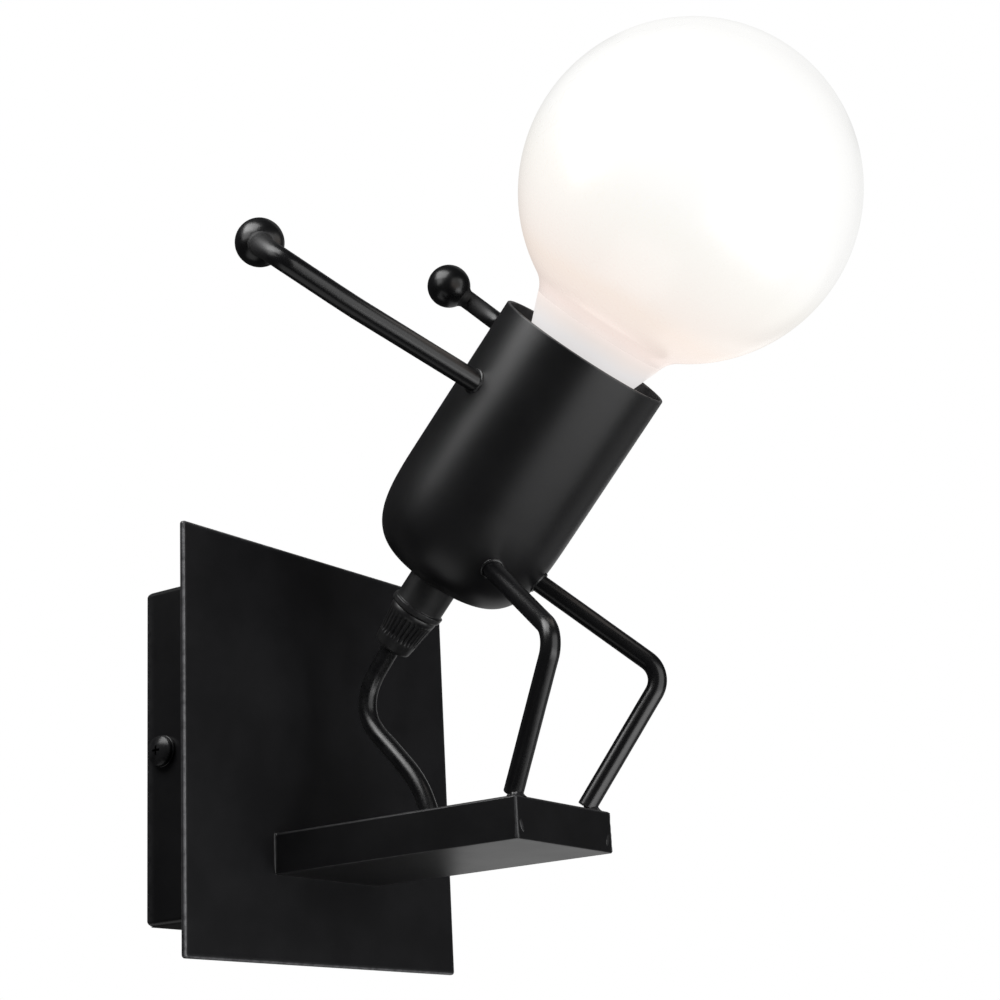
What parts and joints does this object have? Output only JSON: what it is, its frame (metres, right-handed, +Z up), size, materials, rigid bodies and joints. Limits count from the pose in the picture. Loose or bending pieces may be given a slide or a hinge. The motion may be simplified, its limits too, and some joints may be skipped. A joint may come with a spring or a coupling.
{
  "type": "wall sconce",
  "caption": "Black wall sconce: a bent-rod figure on a ledge before a square plate, its leaning cup body holding an opal globe bulb. The bulb and the side fixing screws unscrew.",
  "frame": {"origin": "on the wall, midway between the two wall slots, which is also behind the middle of the wall plate", "axes": "+Z up, +Y into the wall, front towards -Y, +X to the right as seen from the front"},
  "size_m": [0.1373, 0.2089, 0.2474],
  "materials": {
    "black_coat": "satin black coating",
    "black_screw": "black, semi-gloss",
    "zinc_steel": "zinc plated",
    "brass": "plain",
    "terminal_white": "moulded",
    "black_plastic": "moulded, satin",
    "black_rubber": "matt",
    "cord_sheath": "smooth satin sheath",
    "wire_brown": "smooth",
    "wire_blue": "smooth",
    "wire_green": "green with a yellow stripe",
    "holder_plastic": "moulded",
    "cap_metal": "plain",
    "insulator_black": "glossy",
    "white_plastic": "smooth satin",
    "opal_glass": "opal, satin",
    "board_white": "white mask",
    "chip_yellow": "smooth",
    "board_green": "lacquered",
    "capacitor_black": "sleeved"
  },
  "bodies": {
    "fixture": {"wall_bracket": "zinc_steel", "back_box": "black_coat", "wall_plate": "black_coat", "terminal_block": "terminal_white", "terminal_screws": "brass", "block_screw": "zinc_steel", "earth_screw": "brass", "earth_lug": "zinc_steel", "earth_lead": "wire_green", "plate_bush": "black_plastic", "ledge_shell": "black_coat", "ledge_bottom": "black_coat", "ledge_grommet": "black_rubber", "leg_left": "black_coat", "leg_right": "black_coat", "cup": "black_coat", "arm_left": "black_coat", "arm_right": "black_coat", "hand_ball_left": "black_coat", "hand_ball_right": "black_coat", "nipple": "zinc_steel", "nipple_washer": "zinc_steel", "nipple_nut": "zinc_steel", "gland_body": "black_plastic", "gland_insert": "black_rubber", "gland_nut": "black_plastic", "cord": "cord_sheath", "wire_live": "wire_brown", "wire_neutral": "wire_blue", "holder_cap": "holder_plastic", "holder_body": "holder_plastic", "socket_shell": "brass", "contact_leaf": "brass", "holder_screws": "brass"},
    "bulb_tip": {"bulb_contact": "cap_metal"},
    "bulb": {"bulb_insulator": "insulator_black", "bulb_cap": "cap_metal", "bulb_base": "white_plastic", "bulb_globe": "opal_glass", "led_board": "board_white", "led_chips": "chip_yellow", "driver_board": "board_green", "driver_capacitor": "capacitor_black"},
    "left_washer": {"side_washer_left": "black_screw"},
    "left_screw": {"side_screw_left": "black_screw"},
    "right_washer": {"side_washer_right": "black_screw"},
    "right_screw": {"side_screw_right": "black_screw"}
  },
  "joints": [
    {"name": "bulb_advance", "type": "slide", "parent": "fixture", "child": "bulb_tip", "axis": [0, -0.7034, 0.7108], "range_m": [0, 0.0182]},
    {"name": "bulb_turn", "type": "hinge", "parent": "bulb_tip", "child": "bulb", "pos_m": [0, -0.0685, 0.046], "axis": [0, -0.7034, 0.7108], "range_deg": [0, 1800]},
    {"name": "left_screw_out", "type": "slide", "parent": "fixture", "child": "left_washer", "axis": [-1, 0, 0], "range_m": [0, 0.007]},
    {"name": "left_screw_turn", "type": "hinge", "parent": "left_washer", "child": "left_screw", "pos_m": [-0.0475, -0.0065, -0.001], "axis": [-1, 0, 0], "range_deg": [0, 3610]},
    {"name": "right_screw_out", "type": "slide", "parent": "fixture", "child": "right_washer", "axis": [1, 0, 0], "range_m": [0, 0.007]},
    {"name": "right_screw_turn", "type": "hinge", "parent": "right_washer", "child": "right_screw", "pos_m": [0.0475, -0.0065, -0.001], "axis": [1, 0, 0], "range_deg": [0, 3610]}
  ],
  "couplings": [
    {"joint": "bulb_advance", "follows": "bulb_turn", "m_per_rad": 0.00057757},
    {"joint": "left_screw_turn", "follows": "left_screw_out", "rad_per_m": 8976},
    {"joint": "right_screw_turn", "follows": "right_screw_out", "rad_per_m": 8976}
  ]
}
